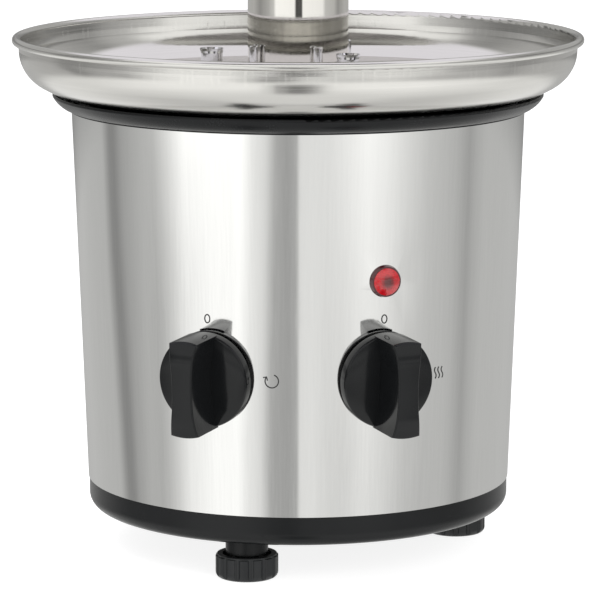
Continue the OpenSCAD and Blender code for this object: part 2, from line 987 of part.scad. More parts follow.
module gland_locknut() {
  color([0.09, 0.09, 0.1])
  on_wall(gland_az, gland_z)
    translate([0, 0, -shell_t - wall_nut_gap - gland_nut_t])
      difference() {
        cylinder(r = gland_flange_r, h = gland_nut_t, $fn = 6);
        translate([0, 0, -1])
          cylinder(r = gland_barrel_r, h = gland_nut_t + 2);
      }
}

module terminal_block() {
  floor_z = pan_z + pan_floor_t;
  color("whitesmoke")
  translate([block_at[0], block_at[1], floor_z])
    difference() {
      translate([-block_size[0] / 2, -block_size[1] / 2, 0])
        cube(block_size);
      for (i = [0 : block_poles - 1])
        translate([(i - (block_poles - 1) / 2) * block_pitch, 0, 0]) {
          translate([0, 0, block_size[2] / 2])
            rotate([90, 0, 0])
              translate([0, 0, -block_size[1]])
                cylinder(r = block_wire_r, h = 2 * block_size[1]);
          translate([0, 0, block_size[2] / 2])
            cylinder(r = block_well_r, h = block_size[2]);
        }
    }
}

// ---- Gearbox ----

// Involute angle, in degrees, where the pressure angle is a
function involute(a) = tan(a) * 180 / PI - a;

// Half of a tooth's angle at radius r, on a gear with this many teeth
function tooth_half(teeth, r) =
  let (pitch_r = gear_module * teeth / 2, base_r = pitch_r * cos(pressure_a))
  90 / teeth - tooth_backlash / pitch_r * 180 / PI + involute(pressure_a)
    - involute(acos(min(1, base_r / max(r, base_r))));

// Gear outline, with one tooth on the +X direction
module gear_outline(teeth, addendum) {
  pitch_r = gear_module * teeth / 2;
  root_r = pitch_r - dedendum * gear_module;
  tip_r = pitch_r + addendum * gear_module;
  flank_steps = 4;
  low_r = max(root_r, pitch_r * cos(pressure_a));
  radii = concat([root_r], [for (s = [0 : flank_steps]) low_r + (tip_r - low_r) * s / flank_steps]);
  last = len(radii) - 1;
  polygon([for (t = [0 : teeth - 1]) for (s = [0 : 2 * last + 1])
    let (i = s <= last ? s : 2 * last + 1 - s,
         side = s <= last ? -1 : 1,
         a = t * 360 / teeth + side * tooth_half(teeth, radii[i]))
    radii[i] * [cos(a), sin(a)]]);
}

module wheel(t) {
  linear_extrude(t)
    gear_outline(wheel_teeth, wheel_addendum);
}

// Pinion with a gap, not a tooth, on the +X direction
module pinion(t) {
  rotate([0, 0, 180 / pinion_teeth])
    linear_extrude(t)
      gear_outline(pinion_teeth, pinion_addendum);
}

// Outline of the gearbox, in its own line's frame, grown by grow
module box_outline(grow) {
  circle(r = box_room_r + grow);
  translate([0, gear_centres])
    circle(r = box_room_r + grow);
  translate([-box_room_r - grow, 0])
    square([2 * (box_room_r + grow), gear_centres]);
  translate([0, rotor_at])
    circle(r = box_neck_r + grow);
  translate([-box_neck_r - grow, gear_centres])
    square([2 * (box_neck_r + grow), gear_centres]);
}

// Children stand at each screw and bolt that holds the gearbox to the bridge
module box_fixings() {
  gear_line(0)
    for (side = [-1, 1]) {
      translate([side * box_screw_at[0], box_screw_at[1], 0])
        children();
      translate([side * bolt_x, rotor_at, 0])
        children();
    }
}

module box_lugs(h) {
  box_fixings()
    cylinder(r = box_boss_r, h = h);
  gear_line(0)
    translate([-bolt_x, rotor_at - 5, 0])
      cube([2 * bolt_x, 10, h]);
}

module gearbox_housing() {
  leg_z = core_z + core_t + bracket_gap + bracket_t;
  boss_outer_r = 5;
  color("darkgray") {
    difference() {
      union() {
        translate([0, 0, box_z])
          gear_line(0)
            linear_extrude(box_h - cover_t)
              box_outline(box_wall_t);
        translate([0, 0, box_z])
          box_lugs(box_h - cover_t);
        gear_line(rotor_at)
          for (side = [-1, 1])
            translate([side * bolt_x, 0, leg_z])
              cylinder(r = leg_r, h = box_z - leg_z + 1);
      }
      translate([0, 0, box_floor_z])
        gear_line(0)
          linear_extrude(box_h)
            box_outline(0);
      translate([0, 0, box_z - 1])
        cylinder(r = bush_r, h = box_floor_t + 2);
      gear_line(gear_centres)
        translate([0, 0, box_z + axle_seat_t])
          cylinder(r = idler_axle_r, h = box_h);
      gear_line(rotor_at)
        translate([0, 0, box_z - 1])
          cylinder(r = rotor_hole_r, h = box_floor_t + 2);
      box_fixings()
        translate([0, 0, leg_z - 1])
          cylinder(r = screw_r, h = box_h + box_z - leg_z + 2);
    }
    gear_line(gear_centres)
      translate([0, 0, box_floor_z - eps])
        pipe(boss_outer_r, idler_axle_r, idler_boss_h);
  }
}

module gearbox_cover() {
  color("darkgray")
  translate([0, 0, box_top_z - cover_t])
    difference() {
      union() {
        gear_line(0)
          linear_extrude(cover_t)
            box_outline(box_wall_t);
        box_lugs(cover_t);
      }
      translate([0, 0, -1])
        cylinder(r = bush_r, h = cover_t + 2);
      gear_line(gear_centres)
        translate([0, 0, -1])
          cylinder(r = idler_axle_r, h = axle_cover_l + 1);
      box_fixings()
        translate([0, 0, -1])
          cylinder(r = screw_r, h = cover_t + 2);
    }
}

// Bronze sleeves: two for the drive shaft in the gearbox, two for the rotor
module sleeve_bearings() {
  color([0.72, 0.53, 0.3]) {
    translate([0, 0, box_floor_z + bush_proud - lower_bush_h])
      pipe(bush_r, journal_r + running_gap, lower_bush_h);
    translate([0, 0, box_top_z + 1 - upper_bush_h])
      pipe(bush_r, shaft_r + running_gap, upper_bush_h);
    gear_line(rotor_at)
      for (z = [core_z - bracket_gap - bracket_t - bearing_proud,
                core_z + core_t + bracket_gap + bracket_t + bearing_proud - bearing_h])
        translate([0, 0, z])
          pipe(bearing_r, rotor_shaft_r + running_gap, bearing_h);
  }
}

module idler_axle() {
  color("silver")
  gear_line(gear_centres)
    translate([0, 0, box_z + axle_seat_t])
      cylinder(r = idler_axle_r, h = box_h - cover_t + axle_cover_l - axle_seat_t);
}

module idler_gear() {
  bottom_z = box_floor_z + idler_boss_h + 0.1;
  hub_r = 4.5;
  color("ivory")
  gear_line(gear_centres)
    difference() {
      union() {
        rotate([0, 0, 90])
          translate([0, 0, first_wheel_z])
            wheel(first_wheel_t);
        rotate([0, 0, -90])
          translate([0, 0, first_wheel_z + first_wheel_t - eps])
            pinion(idler_top_z - first_wheel_z - first_wheel_t + eps);
        translate([0, 0, bottom_z])
          cylinder(r = hub_r, h = first_wheel_z - bottom_z + eps);
      }
      translate([0, 0, bottom_z - 1])
        cylinder(r = idler_axle_r + running_gap, h = box_h);
    }
}

module output_gear() {
  hub_r = 9;
  hub_h = 4;
  color("ivory")
  gear_line(0)
    translate([0, 0, output_wheel_z])
      difference() {
        union() {
          rotate([0, 0, 90])
            wheel(output_wheel_t);
          translate([0, 0, -hub_h])
            cylinder(r = hub_r, h = hub_h + eps);
        }
        translate([0, 0, -hub_h - 1])
          cylinder(r = shaft_r, h = output_wheel_t + hub_h + 2);
      }
}

module drive_shaft() {
  shoulder_z = box_floor_z + bush_proud + running_gap;
  color("silver")
  difference() {
    union() {
      translate([0, 0, box_floor_z + bush_proud - lower_bush_h])
        cylinder(r = journal_r, h = lower_bush_h + 1);
      translate([0, 0, shoulder_z])
        cylinder(r = shaft_r, h = drive_shaft_top_z - shoulder_z);
    }
    translate([0, 0, drive_pin_z])
      rotate([0, 90, 0])
        translate([0, 0, -drive_pin_half_l])
          cylinder(r = drive_pin_r, h = 2 * drive_pin_half_l);
  }
}

module drive_pin() {
  color("gray")
  translate([0, 0, drive_pin_z])
    rotate([0, 90, 0])
      translate([0, 0, -drive_pin_half_l])
        cylinder(r = drive_pin_r, h = 2 * drive_pin_half_l);
}

// ---- Motor ----

module stator_core() {
  color("slategray")
  gear_line(0)
    translate([0, 0, core_z])
      linear_extrude(core_t)
        difference() {
          translate([-core_half_w, core_y0])
            square([2 * core_half_w, core_y1 - core_y0]);
          translate([-window_half_w, window_y0])
            square([2 * window_half_w, window_y1 - window_y0]);
          translate([0, rotor_at])
            circle(r = rotor_r + air_gap);
          for (side = [-1, 1])
            translate([side * bolt_x, rotor_at])
              circle(r = bolt_r);
        }
}

// Rectangular tube about the core's limb, standing out from the limb by inner to outer
module limb_sleeve(half_l, inner, outer) {
  limb = window_y0 - core_y0;
  translate([-half_l, 0, 0])
    difference() {
      translate([0, core_y0 - outer, core_z - outer])
        cube([2 * half_l, limb + 2 * outer, core_t + 2 * outer]);
      translate([-1, core_y0 - inner, core_z - inner])
        cube([2 * half_l + 2, limb + 2 * inner, core_t + 2 * inner]);
    }
}

module coil_bobbin() {
  color("white")
  gear_line(0) {
    limb_sleeve(window_half_w - 0.5, 0, bobbin_t);
    for (side = [-1, 1])
      translate([side * (window_half_w - 0.5 - cheek_half_t), 0, 0])
        limb_sleeve(cheek_half_t, bobbin_t - eps, bobbin_t + coil_t + 1);
  }
}

module stator_coil() {
  color([0.72, 0.4, 0.2])
  gear_line(0)
    limb_sleeve(window_half_w - 2, bobbin_t, bobbin_t + coil_t);
}

// Two straps across the core that carry the rotor's bearings
module bearing_brackets() {
  color("silver")
  gear_line(rotor_at)
    for (top = [0, 1])
      translate([0, 0, core_z + (top ? core_t : 0)])
        mirror([0, 0, 1 - top])
          difference() {
            union() {
              translate([-core_half_w, -bracket_w / 2, bracket_gap])
                cube([2 * core_half_w, bracket_w, bracket_t]);
              for (side = [-1, 1])
                translate([side * bolt_x, 0, 0])
                  cylinder(r = bracket_post_r, h = bracket_gap + eps);
            }
            translate([0, 0, -1])
              cylinder(r = bearing_r, h = bracket_gap + bracket_t + 2);
            for (side = [-1, 1])
              translate([side * bolt_x, 0, -1])
                cylinder(r = bolt_r, h = bracket_gap + bracket_t + 2);
          }
}

module motor_bolts() {
  head_h = 3;
  head_r = 3.8;
  bottom_z = core_z - bracket_gap - bracket_t;
  color("gray")
  gear_line(rotor_at)
    for (side = [-1, 1])
      translate([side * bolt_x, 0, bottom_z - head_h]) {
        cylinder(r = head_r, h = head_h);
        cylinder(r = bolt_r, h = box_top_z + bridge_t - bottom_z + head_h);
      }
}

// Rotor shaft with the first pinion cut on its upper end
module rotor_shaft() {
  pinion_overlap = 1.5;
  pinion_z = first_wheel_z - pinion_overlap;
  tail_l = 2;
  color("silver")
  gear_line(rotor_at) {
    translate([0, 0, fan_z - tail_l])
      cylinder(r = rotor_shaft_r, h = pinion_z - fan_z + tail_l + eps);
    rotate([0, 0, -90])
      translate([0, 0, pinion_z])
        pinion(first_wheel_t + 2 * pinion_overlap);
  }
}

module rotor_core() {
  ring_t = 3;
  color("slategray")
  gear_line(rotor_at)
    translate([0, 0, core_z])
      difference() {
        union() {
          cylinder(r = rotor_r, h = core_t);
          translate([0, 0, -ring_t])
            cylinder(r = rotor_r - 2, h = core_t + 2 * ring_t);
        }
        translate([0, 0, -ring_t - 1])
          cylinder(r = rotor_shaft_r, h = core_t + 2 * ring_t + 2);
      }
}

module cooling_fan() {
  blade_t = 1.2;
  blade_w = 10;
  blade_pitch = 35;
  blade_root_r = fan_hub_r - 1.5;
  color("whitesmoke")
  gear_line(rotor_at)
    translate([0, 0, fan_z])
      difference() {
        union() {
          cylinder(r = fan_hub_r, h = fan_h);
          for (i = [0 : fan_blades - 1])
            rotate([0, 0, i * 360 / fan_blades])
              translate([blade_root_r, 0, fan_h / 2])
                rotate([blade_pitch, 0, 0])
                  translate([0, -blade_w / 2, -blade_t / 2])
                    cube([fan_r - blade_root_r, blade_w, blade_t]);
        }
        translate([0, 0, -1])
          cylinder(r = rotor_shaft_r, h = fan_h + 2);
      }
}

// ---- Screw ----

// Hollow core with a socket over the drive shaft and slots over its pin
module screw_core() {
  socket_top_z = drive_shaft_top_z + 1;
  socket_end_t = 3;
  slot_top_z = drive_pin_z + drive_pin_r;
  slot_w = 2 * drive_pin_r + 0.3;
  color("silver")
  difference() {
    translate([0, 0, screw_bottom_z])
      cylinder(r = screw_core_r, h = screw_top_z - screw_bottom_z);
    translate([0, 0, screw_bottom_z - 1])
      cylinder(r = socket_r, h = socket_top_z - screw_bottom_z + 1);
    translate([0, 0, socket_top_z + socket_end_t])
      cylinder(r = screw_core_r - screw_core_t, h = screw_top_z - socket_top_z);
    translate([-screw_core_r - 1, -slot_w / 2, screw_bottom_z - 1])
      cube([2 * screw_core_r + 2, slot_w, slot_top_z - screw_bottom_z + 1]);
  }
}

// Helical flight, welded round the core
module screw_flight() {
  height = screw_top_z - screw_bottom_z - flight_t;
  turns = height / flight_pitch;
  steps = ceil(turns * flight_steps_per_turn);
  root_r = screw_core_r - weld_depth;
  rise = function (i) screw_bottom_z + height * i / steps;
  turn = function (i) 360 * turns * i / steps;
  section = [[root_r, 0], [flight_r, 0], [flight_r, flight_t], [root_r, flight_t]];
  points = [for (i = [0 : steps]) for (p = section)
    [p[0] * cos(turn(i)), p[0] * sin(turn(i)), rise(i) + p[1]]];
  sides = [for (i = [0 : steps - 1]) for (k = [0 : 3])
    let (a = 4 * i + k, b = 4 * i + (k + 1) % 4)
    each [[a, b, b + 4], [a, b + 4, a + 4]]];
  ends = [[3, 2, 1], [3, 1, 0],
          [4 * steps, 4 * steps + 1, 4 * steps + 2], [4 * steps, 4 * steps + 2, 4 * steps + 3]];
  color("silver")
  polyhedron(points = points, faces = [for (f = concat(sides, ends)) [f[2], f[1], f[0]]]);
}

// Knob on the screw's top end, to draw it out by
module screw_knob() {
  plug_l = 10;
  collar_h = 4;
  collar_w = 2;
  ball_z = total_h - finial_r;
  color([0.09, 0.09, 0.1])
  rotate_extrude()
    intersection() {
      union() {
        translate([0, screw_top_z - plug_l])
          square([screw_core_r - screw_core_t, plug_l + eps]);
        translate([0, screw_top_z])
          square([screw_core_r + collar_w, collar_h]);
        translate([0, screw_top_z + collar_h - eps])
          square([finial_neck_r, ball_z - screw_top_z - collar_h]);
        translate([0, ball_z])
          circle(r = finial_r);
      }
      translate([0, screw_top_z - plug_l - 1])
        square([2 * finial_r, total_h]);
    }
}

// ---- Tower ----

module tower_tube() {
  color("silver")
  difference() {
    translate([0, 0, bowl_floor_z])
      pipe(tube_r, tube_inner_r, tube_top_z - bowl_floor_z);
    for (az = [0 : 90 : 270])
      polar(0, az)
        translate([0, 0, bowl_floor_z])
          rotate([90, 0, 0]) {
            translate([-intake_w / 2, -1, 0])
              cube([intake_w, intake_h - intake_w / 2 + 1, tube_r + 2]);
            translate([0, intake_h - intake_w / 2, 0])
              cylinder(r = intake_w / 2, h = tube_r + 2);
          }
  }
}

// Height of the top of a tier's dome, where its collar starts
function tier_top_z(i) =
  let (rim = tier_rim_rs[i], dome = tier_dome_rs[i])
  lower_tier_z + i * tier_step - sqrt(dome * dome - rim * rim)
    + sqrt(dome * dome - tier_flat_r * tier_flat_r);

// Height of the bottom of a tier's collar, which rests on the pegs
function tier_rest_z(i) = tier_top_z(i) - tier_collar_h;

// Three short pegs under each tier's collar, turned on from one tier to the next
module rest_pegs() {
  color("silver")
  difference() {
    for (i = [0 : 2])
      for (k = [0 : 2])
        polar(tube_r - 1, k * 120 + i * peg_turn)
          translate([0, 0, tier_rest_z(i) - peg_r])
            rotate([90, 0, 0])
              cylinder(r = peg_r, h = peg_reach_r - tube_r + 1);
    translate([0, 0, bowl_floor_z])
      cylinder(r = tube_r, h = tube_top_z - bowl_floor_z);
  }
}

// Domed tier; notches let it down past the pegs of the tiers above it
module tier(i) {
  rim = tier_rim_rs[i];
  dome = tier_dome_rs[i];
  centre_z = lower_tier_z + i * tier_step - sqrt(dome * dome - rim * rim);
  rim_a = acos(rim / dome);
  top_a = acos(tier_flat_r / dome);
  top_z = tier_top_z(i);
  color("silver")
  difference() {
    rotate_extrude()
      union() {
        arc_band([0, centre_z], dome, tier_t, rim_a, top_a);
        translate([rim - tier_bead_r, lower_tier_z + i * tier_step])
          circle(r = tier_bead_r);
        translate([tier_bore_r, top_z - tier_t])
          square([tier_flat_r - tier_bore_r + 0.1, tier_t]);
        translate([tier_bore_r, top_z - tier_collar_h])
          square([tier_t, tier_collar_h]);
      }
    if (i < 2)
      for (j = [i + 1 : 2])
        for (k = [0 : 2])
          polar(0, k * 120 + j * peg_turn)
            translate([-peg_notch_w / 2, -peg_notch_r, top_z - tier_collar_h - 1])
              cube([peg_notch_w, peg_notch_r - tube_r + 2, tier_collar_h + 2]);
  }
}

module lower_tier() {
  tier(0);
}

module middle_tier() {
  tier(1);
}

module upper_tier() {
  tier(2);
}

// Open dish on the tube's top, with a collar that steps in over the tube's edge
module crown() {
  skirt_h = 16;
  step_t = 1;
  rim_r = crown_foot_r + crown_curve_r;
  rim_top_z = crown_floor_z + crown_curve_r;
  color("silver")
  rotate_extrude()
    union() {
      translate([tier_bore_r, tube_top_z - skirt_h])
        square([tier_t, skirt_h + step_t]);
      translate([tube_inner_r, tube_top_z])
        square([tier_collar_r - tube_inner_r, step_t]);
      translate([tier_bore_r, crown_floor_z])
        square([crown_foot_r - tier_bore_r, tier_t]);
      arc_band([crown_foot_r, rim_top_z], crown_curve_r, tier_t, -90, 0);
      translate([rim_r - tier_t / 2, rim_top_z])
        circle(r = crown_bead_r);
    }
}

body_shell();
top_collar();
base_pan();
bowl();
locating_pins();
retaining_studs();
stud_washers();
stud_nuts();
shaft_seal();
heater_plate();
heater_element();
bridge_plate();
bridge_spacers();
machine_screws();
thermostat();
gearbox_housing();
gearbox_cover();
sleeve_bearings();
idler_axle();
stator_core();
stator_coil();
coil_bobbin();
bearing_brackets();
motor_bolts();
rotary_switches();
switch_nuts();
lamp_body();
lamp_lens();
gland_body();
gland_cap();
gland_locknut();
terminal_block();
tie_rods();
drive_shaft();
output_gear();
drive_pin();
screw_core();
screw_flight();
screw_knob();
idler_gear();
rotor_shaft();
rotor_core();
cooling_fan();
tower_tube();
rest_pegs();
lower_tier();
middle_tier();
upper_tier();
crown();
motor_knob();
motor_knob_shaft();
heat_knob();
heat_knob_shaft();
foot(foot_azimuths[0]);  // front_foot
foot_stud(foot_azimuths[0]);  // front_foot_stud
foot(foot_azimuths[1]);  // right_foot
foot_stud(foot_azimuths[1]);  // right_foot_stud
foot(foot_azimuths[2]);  // left_foot
foot_stud(foot_azimuths[2]);  // left_foot_stud
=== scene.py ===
"""Looks for a tabletop chocolate fountain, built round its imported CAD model.

Metres throughout. The model stands on z = 0 on its own axis, controls facing -Y.
Azimuths are in degrees from the front (-Y) towards +X.
"""

import json
import math

import bmesh
import bpy
from mathutils import Matrix, Vector


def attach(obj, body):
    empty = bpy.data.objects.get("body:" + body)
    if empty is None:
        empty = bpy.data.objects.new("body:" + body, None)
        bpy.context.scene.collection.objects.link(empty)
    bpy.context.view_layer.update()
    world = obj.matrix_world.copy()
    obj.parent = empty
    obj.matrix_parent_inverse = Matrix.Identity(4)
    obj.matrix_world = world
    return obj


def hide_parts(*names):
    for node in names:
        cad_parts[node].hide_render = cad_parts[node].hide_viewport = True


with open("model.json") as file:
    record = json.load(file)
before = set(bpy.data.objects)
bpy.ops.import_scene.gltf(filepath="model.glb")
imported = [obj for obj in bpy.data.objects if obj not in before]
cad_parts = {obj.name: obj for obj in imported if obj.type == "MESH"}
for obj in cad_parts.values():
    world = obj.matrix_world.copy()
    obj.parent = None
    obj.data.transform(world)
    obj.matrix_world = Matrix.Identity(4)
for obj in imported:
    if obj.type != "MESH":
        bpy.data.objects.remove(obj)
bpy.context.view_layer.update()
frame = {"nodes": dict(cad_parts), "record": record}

# Dimensions shared with the CAD source
CONTROL_AZ = 22.6
KNOB_Z = 0.108
LAMP_Z = 0.158
RIM_Z = 0.272
DRUM_BOTTOM_R, DRUM_BOTTOM_Z = 0.112, 0.0374
DRUM_TOP_R, DRUM_TOP_Z = 0.1192, 0.23301
DRUM_SLOPE = (DRUM_TOP_R - DRUM_BOTTOM_R) / (DRUM_TOP_Z - DRUM_BOTTOM_Z)
KNOB_R = 0.0241


# ---------------------------------------------------------------- places

def wall_point(az, z, out=0.0):
    """A point on the drum's wall, or out metres off it, at an azimuth in radians."""
    r = DRUM_BOTTOM_R + (z - DRUM_BOTTOM_Z) * DRUM_SLOPE
    tilt = math.atan(DRUM_SLOPE)
    n = Vector((math.sin(az) * math.cos(tilt), -math.cos(az) * math.cos(tilt), -math.sin(tilt)))
    return Vector((math.sin(az) * r, -math.cos(az) * r, z)) + n * out


def wall_frame(az_deg, z):
    """Matrix whose +Z leaves the drum's wall squarely and whose +Y runs up it."""
    tilt = math.degrees(math.atan(DRUM_SLOPE))
    return (Matrix.Translation(wall_point(math.radians(az_deg), z))
            @ Matrix.Rotation(math.radians(az_deg), 4, "Z")
            @ Matrix.Rotation(math.radians(90 + tilt), 4, "X"))


# ---------------------------------------------------------------- material tools

class Nodes:
    """A small wrapper that adds nodes to a tree and links them."""

    def __init__(self, tree):
        self.tree = tree

    def add(self, kind, **values):
        node = self.tree.nodes.new(kind)
        for name, value in values.items():
            setattr(node, name, value)
        return node

    def link(self, a, b):
        self.tree.links.new(a, b)

    def put(self, socket, value):
        if isinstance(value, bpy.types.NodeSocket):
            self.link(value, socket)
        else:
            socket.default_value = value

    def math(self, op, a, b=0.0):
        n = self.add("ShaderNodeMath", operation=op)
        self.put(n.inputs[0], a)
        self.put(n.inputs[1], b)
        return n.outputs[0]

    def product(self, value, *factors):
        for factor in factors:
            value = self.math("MULTIPLY", value, factor)
        return value

    def dimmed(self, value, share):
        """The value with a share of it, from 0 to 1, taken away."""
        return self.math("MULTIPLY", value, self.math("SUBTRACT", 1.0, share))

    def mix(self, a, b, share):
        """From a to b as the share goes from 0 to 1."""
        return self.math("ADD", self.dimmed(a, share), self.math("MULTIPLY", b, share))

    def remap(self, value, lo, hi, to_lo, to_hi, smooth=False):
        n = self.add("ShaderNodeMapRange", clamp=True)
        n.interpolation_type = "SMOOTHSTEP" if smooth else "LINEAR"
        for i, v in enumerate((value, lo, hi, to_lo, to_hi)):
            self.put(n.inputs[i], v)
        return n.outputs[0]

    def noise(self, vector, scale, detail=3.0, rough=0.55):
        n = self.add("ShaderNodeTexNoise")
        self.link(vector, n.inputs["Vector"])
        n.inputs["Scale"].default_value = scale
        n.inputs["Detail"].default_value = detail
        n.inputs["Roughness"].default_value = rough
        return n.outputs["Fac"]

    def stretch(self, vector, sx, sy, sz):
        n = self.add("ShaderNodeVectorMath", operation="MULTIPLY")
        self.link(vector, n.inputs[0])
        n.inputs[1].default_value = (sx, sy, sz)
        return n.outputs[0]

    def join(self, x, y, z):
        n = self.add("ShaderNodeCombineXYZ")
        for i, v in enumerate((x, y, z)):
            self.put(n.inputs[i], v)
        return n.outputs[0]

    def split(self, vector):
        n = self.add("ShaderNodeSeparateXYZ")
        self.link(vector, n.inputs[0])
        return n.outputs[0], n.outputs[1], n.outputs[2]

    def tint(self, fac, dark, light, lo=0.3, hi=0.7):
        n = self.add("ShaderNodeValToRGB")
        self.link(fac, n.inputs[0])
        n.color_ramp.elements[0].position = lo
        n.color_ramp.elements[0].color = (*dark, 1)
        n.color_ramp.elements[1].position = hi
        n.color_ramp.elements[1].color = (*light, 1)
        return n.outputs[0]

    def bump(self, height, distance, strength=1.0, normal=None):
        n = self.add("ShaderNodeBump")
        n.inputs["Strength"].default_value = strength
        n.inputs["Distance"].default_value = distance
        self.link(height, n.inputs["Height"])
        if normal is not None:
            self.link(normal, n.inputs["Normal"])
        return n.outputs[0]


def material(name):
    """A new material with its Principled shader, its node tools and its object coordinates."""
    m = bpy.data.materials.new(name)
    m.use_nodes = True
    n = Nodes(m.node_tree)
    shader = m.node_tree.nodes["Principled BSDF"]
    where = n.add("ShaderNodeTexCoord").outputs["Object"]
    return m, n, shader, where


def round_coords(n, where, along, across):
    """Coordinates for spun grain, slow round the Z axis and quick across it, and the height."""
    x, y, z = n.split(where)
    radius = n.math("POWER", n.math("ADD", n.math("MULTIPLY", x, x), n.math("MULTIPLY", y, y)), 0.5)
    scale = n.math("DIVIDE", along, n.math("MAXIMUM", radius, 0.002))
    return n.join(n.math("MULTIPLY", x, scale), n.math("MULTIPLY", y, scale),
                  n.math("MULTIPLY", n.math("ADD", radius, z), across)), z


# ---------------------------------------------------------------- metals

# Bands of height on the bowl, each from its lower to its upper edge
CRIMP_FADES_IN = (RIM_Z - 0.013, RIM_Z - 0.008)
CRIMP_FADES_OUT = (RIM_Z - 0.0055, RIM_Z - 0.0045)
INNER_WALL = (RIM_Z - 0.0105, RIM_Z - 0.0005)
WIPED_WALL = (RIM_Z - 0.021, RIM_Z - 0.014)
WIPED_FLOOR = (RIM_Z - 0.0300, RIM_Z - 0.0290)
WALL_OPENS = 0.0016
WIPED_ROUGH = -0.10
CRIMP_ROUGH = 0.10


def spun_steel(name, color=(0.70, 0.69, 0.665), rough=0.25, grain=1.0, aniso=0.35, crimp=False):
    """Satin steel with fine rings, as left by spinning and brushing on a lathe.

    With crimp it is the bowl's: pressed marks under the rim, and a shaped and wiped inside.
    """
    m, n, s, where = material(name)
    ring_vec, z = round_coords(n, where, 0.012, 1.0)
    fine = n.noise(n.stretch(ring_vec, 60, 60, 2600), 1.0, 4.0, 0.6)
    broad = n.noise(where, 26.0, 2.0)
    streak = n.noise(n.stretch(ring_vec, 160, 160, 420), 1.0, 2.0)
    r = n.math("ADD", n.remap(fine, 0.3, 0.7, -0.05 * grain, 0.06 * grain),
               n.remap(broad, 0.3, 0.7, rough - 0.03, rough + 0.04))
    r = n.math("ADD", r, n.remap(streak, 0.35, 0.75, -0.02, 0.03))
    opened = None
    if crimp:
        x, y, _ = n.split(where)
        angle = n.math("ARCTAN2", x, y)
        tick_vec = n.join(n.math("MULTIPLY", angle, 75.0), 0.0, n.math("MULTIPLY", z, 26.0))
        ticks = n.noise(tick_vec, 1.0, 2.0, 0.7)
        band = n.product(n.remap(z, *CRIMP_FADES_IN, 0, 1, True), n.remap(z, *CRIMP_FADES_OUT, 1, 0, True))
        marks = n.product(n.remap(ticks, 0.56, 0.72, 0, 1), band)
        r = n.math("ADD", r, n.math("MULTIPLY", marks, CRIMP_ROUGH))
        fine = n.math("ADD", fine, n.math("MULTIPLY", marks, 2.2))
        # The upright wall inside the rim is shaded as if it leant outwards by about 9 degrees
        face_x, face_y, _ = n.split(n.add("ShaderNodeNewGeometry").outputs["Normal"])
        outward = n.math("ADD", n.math("MULTIPLY", face_x, x), n.math("MULTIPLY", face_y, y))
        inside = n.remap(outward, -0.06, -0.02, 1.0, 0.0)
        opened = n.bump(n.product(n.remap(z, *INNER_WALL, WALL_OPENS, 0.0), inside), 1.0)
        # The lower wall and the floor inside have been wiped smoother
        wiped = n.product(inside, n.remap(z, *WIPED_WALL, WIPED_ROUGH, 0.0))
        wiped = n.math("MINIMUM", wiped, n.remap(z, *WIPED_FLOOR, WIPED_ROUGH, 0.0))
        r = n.math("MAXIMUM", n.math("ADD", r, wiped), 0.04)
    n.link(r, s.inputs["Roughness"])
    dark = tuple(0.93 * c for c in color)
    n.link(n.tint(fine, dark, color), s.inputs["Base Color"])
    s.inputs["Metallic"].default_value = 1.0
    s.inputs["Anisotropic"].default_value = aniso
    tangent = n.add("ShaderNodeTangent", direction_type="RADIAL", axis="Z")
    n.link(tangent.outputs[0], s.inputs["Tangent"])
    n.link(n.bump(fine, 0.00002, 0.25 * grain, opened), s.inputs["Normal"])
    return m


def polished_steel(name, color=(0.80, 0.80, 0.79), rough=0.06):
    """Polished sheet, with a faint upright grain and the slow waviness of rolled metal."""
    m, n, s, where = material(name)
    grain = n.noise(n.stretch(where, 900, 900, 12), 1.0, 3.0)
    wave = n.noise(n.stretch(where, 14, 14, 5), 1.0, 1.5)
    wipe = n.noise(n.stretch(where, 30, 30, 60), 1.0, 4.0, 0.65)
    r = n.math("ADD", n.remap(grain, 0.3, 0.7, rough - 0.02, rough + 0.035),
               n.remap(wipe, 0.5, 0.8, 0.0, 0.03))
    n.link(r, s.inputs["Roughness"])
    n.link(n.tint(grain, tuple(0.965 * c for c in color), color), s.inputs["Base Color"])
    s.inputs["Metallic"].default_value = 1.0
    fine = n.bump(grain, 0.000004, 0.25)
    n.link(n.bump(wave, 0.00008, 0.12, fine), s.inputs["Normal"])
    return m


def chrome(name, color=(0.83, 0.83, 0.84), rough=0.05):
    """Bright turned or plated steel with hairlines from handling."""
    m, n, s, where = material(name)
    hair = n.noise(n.stretch(where, 240, 240, 1500), 1.0, 3.0)
    n.link(n.remap(hair, 0.35, 0.75, rough, rough + 0.09), s.inputs["Roughness"])
    n.link(n.tint(hair, tuple(0.94 * c for c in color), color), s.inputs["Base Color"])
    s.inputs["Metallic"].default_value = 1.0
    n.link(n.bump(hair, 0.000006, 0.3), s.inputs["Normal"])
    return m


def plain_metal(name, color, rough, speckle=300.0, contrast=0.12, depth=0.00002, metallic=1.0):
    """Plated, cast, rolled or sintered metal: mottled colour and a shallow skin."""
    m, n, s, where = material(name)
    mottle = n.noise(where, speckle, 5.0, 0.65)
    patch = n.noise(where, speckle / 12, 2.0)
    n.link(n.tint(mottle, tuple((1 - contrast) * c for c in color), color), s.inputs["Base Color"])
    n.link(n.math("ADD", n.remap(mottle, 0.3, 0.7, rough - 0.05, rough + 0.06),
                  n.remap(patch, 0.35, 0.7, -0.03, 0.05)), s.inputs["Roughness"])
    s.inputs["Metallic"].default_value = metallic
    n.link(n.bump(mottle, depth, 0.4), s.inputs["Normal"])
    return m


